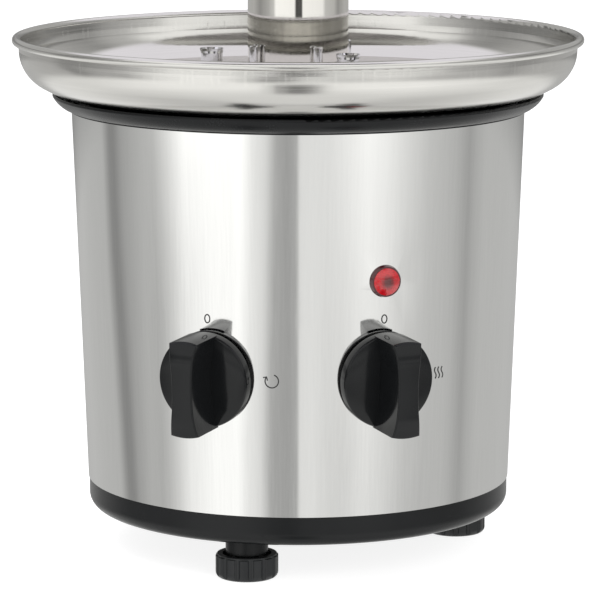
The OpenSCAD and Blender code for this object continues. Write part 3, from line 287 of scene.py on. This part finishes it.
def laminated(name, color=(0.24, 0.25, 0.27)):
    """Stacked, varnished sheets, seen as fine level lines."""
    m, n, s, where = material(name)
    wave = n.add("ShaderNodeTexWave", wave_type="BANDS", bands_direction="Z")
    n.link(where, wave.inputs["Vector"])
    wave.inputs["Scale"].default_value = 320.0
    wave.inputs["Distortion"].default_value = 0.4
    dark = tuple(0.55 * c for c in color)
    n.link(n.tint(wave.outputs["Fac"], dark, color, 0.1, 0.6), s.inputs["Base Color"])
    n.link(n.remap(n.noise(where, 200.0), 0.3, 0.7, 0.35, 0.5), s.inputs["Roughness"])
    s.inputs["Metallic"].default_value = 0.8
    n.link(n.bump(wave.outputs["Fac"], 0.0001, 0.5), s.inputs["Normal"])
    return m


def wound(name, color=(0.62, 0.28, 0.12)):
    """Enamelled wire laid side by side."""
    m, n, s, where = material(name)
    wave = n.add("ShaderNodeTexWave", wave_type="BANDS", bands_direction="DIAGONAL")
    n.link(where, wave.inputs["Vector"])
    wave.inputs["Scale"].default_value = 420.0
    wave.inputs["Distortion"].default_value = 0.8
    dark = tuple(0.35 * c for c in color)
    n.link(n.tint(wave.outputs["Fac"], dark, color, 0.05, 0.7), s.inputs["Base Color"])
    n.link(n.remap(n.noise(where, 260.0), 0.3, 0.7, 0.22, 0.36), s.inputs["Roughness"])
    s.inputs["Metallic"].default_value = 0.9
    n.link(n.bump(wave.outputs["Fac"], 0.0002, 0.6), s.inputs["Normal"])
    return m


# ---------------------------------------------------------------- plastics, rubber, lens

def plastic(name, color, rough, coat=0.0, skin=900.0, depth=0.00002, dust=0.15, spec=0.5):
    """Moulded plastic or rubber: a fine skin, slow changes of gloss and a little dust in colour."""
    m, n, s, where = material(name)
    grain = n.noise(where, skin, 3.0, 0.6)
    slow = n.noise(where, 45.0, 3.0)
    light = tuple(min(1.0, c * (1 + dust) + 0.004 * dust) for c in color)
    n.link(n.tint(slow, color, light), s.inputs["Base Color"])
    n.link(n.math("ADD", n.remap(slow, 0.3, 0.7, rough - 0.025, rough + 0.035),
                  n.remap(grain, 0.3, 0.7, -0.02, 0.03)), s.inputs["Roughness"])
    s.inputs["Specular IOR Level"].default_value = spec
    s.inputs["Coat Weight"].default_value = coat
    s.inputs["Coat Roughness"].default_value = 0.06
    n.link(n.bump(grain, depth, 0.35), s.inputs["Normal"])
    return m


def silicone(name):
    m, n, s, where = material(name)
    cloud = n.noise(where, 120.0, 3.0)
    n.link(n.tint(cloud, (0.62, 0.61, 0.58), (0.76, 0.75, 0.72)), s.inputs["Base Color"])
    n.link(n.remap(cloud, 0.3, 0.7, 0.34, 0.46), s.inputs["Roughness"])
    s.inputs["Subsurface Weight"].default_value = 0.25
    s.inputs["Subsurface Radius"].default_value = (0.002, 0.0018, 0.0015)
    n.link(n.bump(n.noise(where, 1400.0), 0.00002, 0.3), s.inputs["Normal"])
    return m


def lamp_lens(name):
    """Clear red lens over a faceted inner reflector, with painted light and shade in its colour: brighter
    red over the facets for the reflector's light, and painted shade at the centre, where the unlit lamp
    sits.
    """
    m, n, s, where = material(name)
    centre = wall_point(math.radians(CONTROL_AZ), LAMP_Z, 0.002)
    off = n.add("ShaderNodeVectorMath", operation="SUBTRACT")
    n.link(where, off.inputs[0])
    off.inputs[1].default_value = centre
    length = n.add("ShaderNodeVectorMath", operation="LENGTH")
    n.link(off.outputs[0], length.inputs[0])
    cell = n.add("ShaderNodeTexVoronoi", feature="DISTANCE_TO_EDGE")
    n.link(where, cell.inputs["Vector"])
    cell.inputs["Scale"].default_value = 620.0
    facets = n.remap(cell.outputs["Distance"], 0.0, 0.12, 0.0, 1.0)
    # Painted shade: the red darkens towards the lamp's centre, as the hollow behind the lens would be
    # shaded
    painted_centre_shade = n.remap(length.outputs["Value"], 0.0022, 0.0052, 0.0, 1.0, True)
    # The facets' darker edges are their own pattern; the brighter red inside them is painted light from the
    # reflector
    fac = n.math("MULTIPLY", n.math("ADD", n.math("MULTIPLY", facets, 0.35), 0.65), painted_centre_shade)
    n.link(n.tint(fac, (0.07, 0.001, 0.002), (0.46, 0.006, 0.012), 0.05, 0.95), s.inputs["Base Color"])
    n.link(n.remap(facets, 0.0, 1.0, 0.12, 0.05), s.inputs["Roughness"])
    s.inputs["Coat Weight"].default_value = 1.0
    s.inputs["Coat Roughness"].default_value = 0.03
    s.inputs["Subsurface Weight"].default_value = 0.15
    s.inputs["Subsurface Radius"].default_value = (0.002, 0.0005, 0.0005)
    n.link(n.bump(facets, 0.0001, 0.35), s.inputs["Normal"])
    return m


def printed_ink(name):
    m, n, s, where = material(name)
    speck = n.noise(where, 2500.0, 2.0)
    n.link(n.tint(speck, (0.010, 0.010, 0.010), (0.030, 0.030, 0.030)), s.inputs["Base Color"])
    n.link(n.remap(speck, 0.3, 0.7, 0.35, 0.5), s.inputs["Roughness"])
    return m


FINISHES = {
    "polished_steel": polished_steel,
    "satin_steel": spun_steel,
    "bright_steel": chrome,
    "black_gloss_plastic": lambda k: plastic(k, (0.008, 0.0085, 0.009), 0.22, spec=0.2),
    "black_matt_plastic": lambda k: plastic(k, (0.022, 0.022, 0.023), 0.48, skin=1500.0, depth=0.00005),
    "knob_plastic": lambda k: plastic(k, (0.005, 0.0055, 0.006), 0.12, spec=0.26, depth=0.000008),
    "foot_rubber": lambda k: plastic(k, (0.012, 0.013, 0.014), 0.34, spec=0.35, skin=1300.0, depth=0.00004),
    "lamp_red": lamp_lens,
    "lamp_bezel": lambda k: plastic(k, (0.045, 0.003, 0.005), 0.16, coat=0.4),
    "silicone": silicone,
    "aluminium": lambda k: plain_metal(k, (0.72, 0.73, 0.74), 0.34, 500.0, 0.10),
    "element_sheath": lambda k: plain_metal(k, (0.20, 0.18, 0.17), 0.45, 260.0, 0.35, 0.00003, 0.9),
    "zinc_steel": lambda k: plain_metal(k, (0.62, 0.62, 0.60), 0.30, 260.0, 0.18),
    "cast_alloy": lambda k: plain_metal(k, (0.56, 0.57, 0.58), 0.46, 900.0, 0.16, 0.00006),
    "bronze": lambda k: plain_metal(k, (0.60, 0.40, 0.20), 0.38, 1400.0, 0.25, 0.00004),
    "lamination_steel": laminated,
    "copper_winding": wound,
    "nylon": lambda k: plastic(k, (0.76, 0.75, 0.69), 0.40, dust=0.06),
    "switch_plastic": lambda k: plastic(k, (0.045, 0.045, 0.05), 0.42),
}
record = frame["record"]
MATERIALS = {}
for part in record["subparts"]:
    key = part["material_slot"]
    if key not in MATERIALS:
        MATERIALS[key] = FINISHES[key](key)
INK = printed_ink("ink")
BOWL_STEEL = spun_steel("satin_steel_bowl", rough=0.15, crimp=True)
TUBE_STEEL = polished_steel("satin_steel_tube", (0.76, 0.745, 0.71), 0.035)
COLLAR_BLACK = plastic("black_gloss_collar", (0.009, 0.0095, 0.010), 0.24, spec=0.14)


def dress(obj, mat):
    obj.data.materials.clear()
    obj.data.materials.append(mat)


for part in record["subparts"]:
    dress(frame["nodes"][part["node"]], MATERIALS[part["material_slot"]])
dress(frame["nodes"]["bowl"], BOWL_STEEL)
dress(frame["nodes"]["tower_tube"], TUBE_STEEL)
dress(frame["nodes"]["top_collar"], COLLAR_BLACK)


# ---------------------------------------------------------------- mesh tools

def mesh_object(name, verts, faces, mat, body, smooth=True):
    me = bpy.data.meshes.new(name)
    me.from_pydata([tuple(v) for v in verts], [], faces)
    me.validate()
    ob = bpy.data.objects.new(name, me)
    bpy.context.collection.objects.link(ob)
    me.materials.append(mat)
    bm = bmesh.new()
    bm.from_mesh(me)
    bmesh.ops.recalc_face_normals(bm, faces=bm.faces)
    bm.to_mesh(me)
    bm.free()
    for p in me.polygons:
        p.use_smooth = smooth
    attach(ob, body)
    return ob


def rings_to_mesh(rings, close_first=True, close_last=True):
    """Faces that join closed rings of equal length, with optional end caps."""
    verts, faces, k = [], [], len(rings[0])
    for ring in rings:
        verts.extend(ring)
    for j in range(len(rings) - 1):
        for i in range(k):
            a, b = j * k + i, j * k + (i + 1) % k
            faces.append((a, b, b + k, a + k))
    if close_first:
        faces.append(tuple(range(k - 1, -1, -1)))
    if close_last:
        faces.append(tuple(range((len(rings) - 1) * k, len(rings) * k)))
    return verts, faces


# ---------------------------------------------------------------- knobs

GRIP_HALF_W = 0.0054
GRIP_FLANK_R = 0.130
GRIP_END_R = 0.0247
GRIP_ROLL = 0.0009
GRIP_FLAT = 0.0125
GRIP_DROP = 0.0030
KNOB_BACK = 0.0009
SKIRT_T = 0.0076
SKIRT_FALL = 0.0008
KNOB_FRONT = 0.0324
FLANK_STEPS = 28
END_STEPS = 12


def grip_ring(inset):
    """Hourglass outline, cut off by a circle, drawn in by inset."""
    r = GRIP_END_R - inset

    def half(y):
        return GRIP_HALF_W - inset + y * y / (2 * GRIP_FLANK_R)

    y_end = r
    for _ in range(30):
        y_end = math.sqrt(max(r * r - half(y_end) ** 2, 0))
    a_end = math.atan2(half(y_end), y_end)
    pts = []
    for i in range(END_STEPS):
        a = a_end - 2 * a_end * i / END_STEPS
        pts.append((r * math.sin(a), r * math.cos(a)))
    for i in range(FLANK_STEPS):
        y = y_end - 2 * y_end * i / FLANK_STEPS
        pts.append((-half(y), y))
    for i in range(END_STEPS):
        a = math.pi + a_end - 2 * a_end * i / END_STEPS
        pts.append((r * math.sin(a), r * math.cos(a)))
    for i in range(FLANK_STEPS):
        y = -y_end + 2 * y_end * i / FLANK_STEPS
        pts.append((half(y), y))
    return pts


def grip_front(y):
    """Height of the grip's front above the wall: flat, then falling away to both ends."""
    over = max(abs(y) - GRIP_FLAT, 0) / (GRIP_END_R - GRIP_FLAT)
    return KNOB_FRONT - GRIP_DROP * over * over


def knob(name, az, body, node):
    place = wall_frame(az, KNOB_Z)
    steps = 96
    top = KNOB_BACK + SKIRT_T
    edge = top - SKIRT_FALL
    profile = [(KNOB_R - 0.0016, KNOB_BACK), (KNOB_R - 0.0004, KNOB_BACK + 0.0002),
               (KNOB_R, KNOB_BACK + 0.0008), (KNOB_R, edge - 0.0014), (KNOB_R - 0.0002, edge - 0.0007),
               (KNOB_R - 0.0006, edge - 0.0002), (KNOB_R - 0.0012, edge), (0.016, top - 0.0003),
               (0.010, top), (0.003, top)]
    rings = [[place @ Vector((r * math.cos(t), r * math.sin(t), z))
              for t in (2 * math.pi * i / steps for i in range(steps))] for r, z in profile]
    verts, faces = rings_to_mesh(rings)
    # The grip: straight sides, then a small rolled edge and a front that falls away at both ends
    levels = [[place @ Vector((x, y, top - 0.0030)) for x, y in grip_ring(0.0)]]
    for i in range(6):
        a = math.pi / 2 * i / 5
        levels.append([place @ Vector((x, y, grip_front(y) - GRIP_ROLL * (1 - math.sin(a))))
                       for x, y in grip_ring(GRIP_ROLL * (1 - math.cos(a)))])
    gv, gf = rings_to_mesh(levels, close_first=False, close_last=False)
    count = len(levels[0])
    base = len(gv) - count
    for i in range(FLANK_STEPS):
        left = (END_STEPS + i, END_STEPS + i + 1)
        right = ((count - i - 1) % count, (count - i) % count)
        gf.append((base + left[0], base + left[1], base + right[0], base + right[1]))
    gf.append(tuple(base + i for i in range(END_STEPS + 1)))
    gf.append(tuple(base + END_STEPS + FLANK_STEPS + i for i in range(END_STEPS + 1)))
    shift = len(verts)
    verts += gv
    faces += [tuple(i + shift for i in f) for f in gf]
    ob = mesh_object(name, verts, faces, MATERIALS["knob_plastic"], body)
    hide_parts(node)
    return ob


def by_angle(ob, degrees=32):
    """Smooth shading that breaks at edges sharper than this."""
    bm = bmesh.new()
    bm.from_mesh(ob.data)
    for e in bm.edges:
        if len(e.link_faces) == 2 and e.calc_face_angle(0) > math.radians(degrees):
            e.smooth = False
    bm.to_mesh(ob.data)
    bm.free()


for name, az, body, node in (("motor_knob_moulding", -CONTROL_AZ, "motor_knob", "motor_knob"),
                             ("heat_knob_moulding", CONTROL_AZ, "heat_knob", "heat_knob")):
    by_angle(knob(name, az, body, node))


# ---------------------------------------------------------------- printed marks on the drum

INK_OUT = 0.00006
INK_SUNK = 0.0001
INK_WIDTH = 0.00062


def ink_stroke(name, paths, width, az_deg, z0):
    """Strokes of one width, drawn in (along the wall, up the wall) metres about a centre."""
    verts, faces = [], []
    for path, closed in paths:
        start = len(verts)
        count = len(path)
        for i, (u, v) in enumerate(path):
            p = path[(i - 1) % count] if closed or i else path[i]
            q = path[(i + 1) % count] if closed or i < count - 1 else path[i]
            d = Vector((q[0] - p[0], q[1] - p[1])).normalized()
            for side in (-1, 1):
                uu, vv = u - d.y * side * width / 2, v + d.x * side * width / 2
                radius = DRUM_BOTTOM_R + (z0 + vv - DRUM_BOTTOM_Z) * DRUM_SLOPE
                for out in (INK_OUT, -INK_SUNK):
                    verts.append(wall_point(math.radians(az_deg) + uu / radius, z0 + vv, out))
        last = count if closed else count - 1
        for i in range(last):
            a, b = start + 4 * i, start + 4 * ((i + 1) % count)
            faces += [(a, b, b + 2, a + 2), (a, b, b + 1, a + 1), (a + 2, b + 2, b + 3, a + 3),
                      (a + 1, b + 1, b + 3, a + 3)]
        if not closed:
            a, b = start, start + 4 * (count - 1)
            faces += [(a, a + 1, a + 3, a + 2), (b, b + 1, b + 3, b + 2)]
    return mesh_object(name, verts, faces, INK, "root", smooth=False)


def ellipse(a, b, steps=36, start=0.0, sweep=2 * math.pi, centre=(0.0, 0.0)):
    full = abs(sweep - 2 * math.pi) < 1e-6
    n = steps if full else steps + 1
    return [(centre[0] + a * math.sin(start + sweep * i / steps),
             centre[1] + b * math.cos(start + sweep * i / steps)) for i in range(n)]


ZERO_Z = 0.1386
for side, label in ((-1, "motor"), (1, "heat")):
    zero = [(ellipse(0.0014, 0.0021), True)]
    ink_stroke(label + "_zero_mark", zero, INK_WIDTH, side * CONTROL_AZ, ZERO_Z)
ICON_TURN = 16.6
arrow = ellipse(0.0034, 0.0034, 30, math.radians(20), math.radians(290))
tip = arrow[-1]
ink_stroke("motor_turn_mark", [(arrow, False),
           ([(tip[0] - 0.0018, tip[1] - 0.0004), tip, (tip[0] + 0.0004, tip[1] - 0.0019)], False)],
           INK_WIDTH, -CONTROL_AZ + ICON_TURN, KNOB_Z)
waves = []
for k in (-1, 0, 1):
    waves.append(([(k * 0.0022 + 0.0006 * math.sin(t * 2 * math.pi), -0.0030 + 0.0060 * t)
                   for t in (i / 20 for i in range(21))], False))
ink_stroke("heat_waves_mark", waves, INK_WIDTH, CONTROL_AZ + ICON_TURN, KNOB_Z)


# ---------------------------------------------------------------- stage, light, camera

FLOOR_HALF = 6.0
FLOOR_GLOW = 0.86


def floor():
    """White paper that runs out of sight and stays white in the shade."""
    h = FLOOR_HALF
    me = bpy.data.meshes.new("floor")
    me.from_pydata([(-h, -h, 0), (h, -h, 0), (h, h, 0), (-h, h, 0)], [], [(0, 1, 2, 3)])
    ob = bpy.data.objects.new("floor", me)
    bpy.context.collection.objects.link(ob)
    m, n, s, where = material("floor_paper")
    s.inputs["Base Color"].default_value = (0.42, 0.42, 0.42, 1)
    n.link(n.remap(n.noise(where, 30.0), 0.3, 0.7, 0.85, 0.95), s.inputs["Roughness"])
    s.inputs["Specular IOR Level"].default_value = 0.0
    s.inputs["Emission Color"].default_value = (1, 1, 1, 1)
    s.inputs["Emission Strength"].default_value = FLOOR_GLOW
    me.materials.append(m)
    ob.visible_glossy = False


# The studio round the object, as brightness against azimuth in degrees: two soft
# boxes ahead to left and right, a dark gap between them, grey walls and flags beside
STUDIO = (
    (-180, 0.46), (-150, 0.57), (-118, 0.54), (-111, 0.30), (-107, 0.29), (-101, 0.42), (-92, 0.50),
    (-78, 0.62), (-68, 0.98), (-59, 1.40), (-28, 1.40), (-22, 1.02), (-15, 0.86), (-10, 0.50),
    (-5, 0.42), (0.2, 0.50), (1.4, 0.90), (16, 0.93), (36, 1.20), (46, 1.08), (58, 0.86),
    (71, 0.66), (88, 0.55), (98, 0.42), (103, 0.50), (112, 0.57), (145, 0.56), (180, 0.46))
# The same near the horizon, where the boxes stand closer to a narrow dark stand
HORIZON = (
    (-180, 0.46), (-120, 0.52), (-96, 0.34), (-70, 0.52), (-57, 0.70), (-51, 1.25), (-8, 1.20),
    (-4, 0.09), (9, 0.09), (12, 1.20), (58, 1.10), (66, 0.66), (90, 0.58), (104, 0.36), (130, 0.52),
    (180, 0.46))
PEAK = 1.5
# Brightness of the studio's other surfaces, and of the backdrop that the camera sees
TABLE = 0.90
TABLE_NEAR = 1.22
STAND_TOP = 1.2
FRONT_PANEL = 1.15
GAP = 0.02
ROOF = 1.05
BACKDROP = 1.1
# Shares of the light taken away
STRIP_DIM = 0.42
LOW_SKY = 0.5
CAMERA_SHAPE = 0.85


def band_ramp(n, turn, stops_by_az):
    """Brightness looked up by azimuth in degrees."""
    ramp = n.add("ShaderNodeValToRGB")
    n.link(n.math("ADD", n.math("DIVIDE", turn, 360), 0.5), ramp.inputs[0])
    stops = ramp.color_ramp.elements
    while len(stops) > 1:
        stops.remove(stops[-1])
    for i, (az, level) in enumerate(stops_by_az):
        e = stops[0] if i == 0 else stops.new((az + 180) / 360)
        e.position = (az + 180) / 360
        e.color = (level / PEAK, level / PEAK, level / PEAK, 1)
    return n.math("MULTIPLY", ramp.outputs[0], PEAK)


def studio():
    """A world that lights the object and is mirrored in it, but shows the camera a plain backdrop."""
    world = bpy.data.worlds.new("studio")
    bpy.context.scene.world = world
    world.use_nodes = True
    world.node_tree.nodes.clear()
    n = Nodes(world.node_tree)
    x, y, z = n.split(n.add("ShaderNodeTexCoord").outputs["Generated"])
    turn = n.math("MULTIPLY", n.math("ARCTAN2", x, n.math("MULTIPLY", y, -1.0)), 180 / math.pi)
    aside = n.math("ABSOLUTE", turn)

    # Lower down, the left box's inner edge and the left flag both lean inwards, and the right box fades
    depth = n.remap(z, -0.19, -0.28, 0.0, 1.0)
    lean = n.product(n.remap(turn, -58, -36, 0.0, 4.5), n.remap(turn, -12, -6, 1.0, 0.0), depth)
    flag = n.product(n.remap(turn, -100, -76, -8.0, 0.0), depth)
    bands = band_ramp(n, n.math("ADD", n.math("ADD", turn, lean), flag), STUDIO)
    fade = n.product(n.remap(turn, 8, 24, 0.0, 0.24), n.remap(turn, 60, 84, 1.0, 0.0), depth)
    bands = n.dimmed(bands, fade)
    # The left box is weaker in its lower part
    soft = n.product(n.remap(turn, -58, -44, 0.25, 0.12), n.remap(turn, -86, -74, 0.0, 1.0),
                     n.remap(turn, -34, -24, 1.0, 0.0), n.remap(z, -0.17, -0.225, 0.0, 1.0))
    bands = n.dimmed(bands, soft)
    # A dim strip above the bands, then the horizon's own pattern with a bright top to its dark stand,
    # and a dimmer sky just above the horizon
    strip = n.product(n.remap(z, -0.155, -0.125, 0.0, STRIP_DIM), n.remap(z, -0.103, -0.108, 0.0, 1.0))
    bands = n.dimmed(bands, strip)
    level = n.mix(bands, band_ramp(n, turn, HORIZON), n.remap(z, -0.103, -0.097, 0.0, 1.0))
    stand_top = n.product(n.remap(z, -0.06, -0.01, 0.0, 1.0), n.remap(aside, 14, 20, 1.0, 0.0))
    level = n.mix(level, STAND_TOP, stand_top)
    low_sky = n.product(n.remap(z, -0.03, 0.02, 0.0, LOW_SKY), n.remap(z, 0.11, 0.16, 1.0, 0.0))
    level = n.dimmed(level, low_sky)
    # The table below, darker to the sides, and on it the camera's own dark shape, low in front
    sides = n.remap(aside, 55, 110, 1.0, 0.78)
    table = n.product(n.remap(z, -0.62, -0.90, TABLE_NEAR, TABLE), sides)
    level = n.mix(level, table, n.remap(z, -0.30, -0.46, 0.0, 1.0, True))
    shape = n.product(n.remap(aside, 3, 17, CAMERA_SHAPE, 0.0, True),
                      n.remap(z, -0.38, -0.54, 0.0, 1.0, True), n.remap(z, -0.76, -0.88, 1.0, 0.0, True))
    level = n.dimmed(level, shape)
    # A bright panel high in front, and a pale roof with a dark gap along its front edge
    ahead = n.product(n.remap(z, 0.12, 0.36, 0.0, 1.0, True), n.remap(y, -0.10, -0.35, 0.0, 1.0, True))
    level = n.mix(level, FRONT_PANEL, ahead)
    over = n.product(n.remap(z, 0.52, 0.66, 0.0, 1.0, True), n.remap(y, -0.68, -0.60, 0.0, 1.0, True))
    gap = n.product(n.remap(y, -0.42, -0.34, 1.0, 0.0, True),
                    n.remap(n.math("ABSOLUTE", x), 0.42, 0.60, 1.0, 0.0, True))
    level = n.mix(level, n.mix(ROOF, GAP, gap), over)

    path = n.add("ShaderNodeLightPath")
    seen = n.add("ShaderNodeBackground")
    seen.inputs["Color"].default_value = (1, 1, 1, 1)
    seen.inputs["Strength"].default_value = BACKDROP
    lit = n.add("ShaderNodeBackground")
    n.link(n.tint(over, (1.0, 1.0, 0.985), (0.96, 0.94, 1.0), 0.0, 1.0), lit.inputs["Color"])
    n.link(level, lit.inputs["Strength"])
    choose = n.add("ShaderNodeMixShader")
    n.link(path.outputs["Is Camera Ray"], choose.inputs[0])
    n.link(lit.outputs[0], choose.inputs[1])
    n.link(seen.outputs[0], choose.inputs[2])
    out = n.add("ShaderNodeOutputWorld")
    n.link(choose.outputs[0], out.inputs[0])


def soft_light(name, place, aim, size, watts):
    """A rectangular light that brightens matt surfaces and isn't mirrored."""
    data = bpy.data.lights.new(name, "AREA")
    data.shape = "RECTANGLE"
    data.size, data.size_y = size
    data.energy = watts
    ob = bpy.data.objects.new(name, data)
    bpy.context.collection.objects.link(ob)
    ob.location = place
    ob.rotation_mode = "QUATERNION"
    ob.rotation_quaternion = (Vector(aim) - Vector(place)).to_track_quat("-Z", "Y")
    ob.visible_glossy = False


# The camera: lens in millimetres, place in metres, and its turn and downward tilt in degrees
CAMERA_LENS = 217.8
CAMERA_BACK = 1.903
CAMERA_Z = 0.4507
CAMERA_SHIFT = 0.001
CAMERA_TURN = 0.6
CAMERA_TILT = 9.56


def camera():
    data = bpy.data.cameras.new("camera")
    data.sensor_width = 36.0
    data.lens = CAMERA_LENS
    data.clip_start, data.clip_end = 0.05, 30.0
    ob = bpy.data.objects.new("camera", data)
    bpy.context.collection.objects.link(ob)
    orbit = math.radians(CAMERA_TURN)
    ob.location = (CAMERA_SHIFT + CAMERA_BACK * math.sin(orbit), -CAMERA_BACK * math.cos(orbit), CAMERA_Z)
    ob.rotation_euler = (math.radians(90 - CAMERA_TILT), 0, orbit)
    bpy.context.scene.camera = ob


floor()
studio()
soft_light("overhead", (-0.5, -0.6, 1.9), (0, 0, 0.1), (1.6, 1.6), 22.0)
soft_light("front_fill", (0.7, -1.9, 1.1), (0, 0, 0.2), (1.2, 0.9), 10.0)
camera()
scene = bpy.context.scene
scene.view_settings.view_transform = "Standard"
scene.view_settings.look = "None"
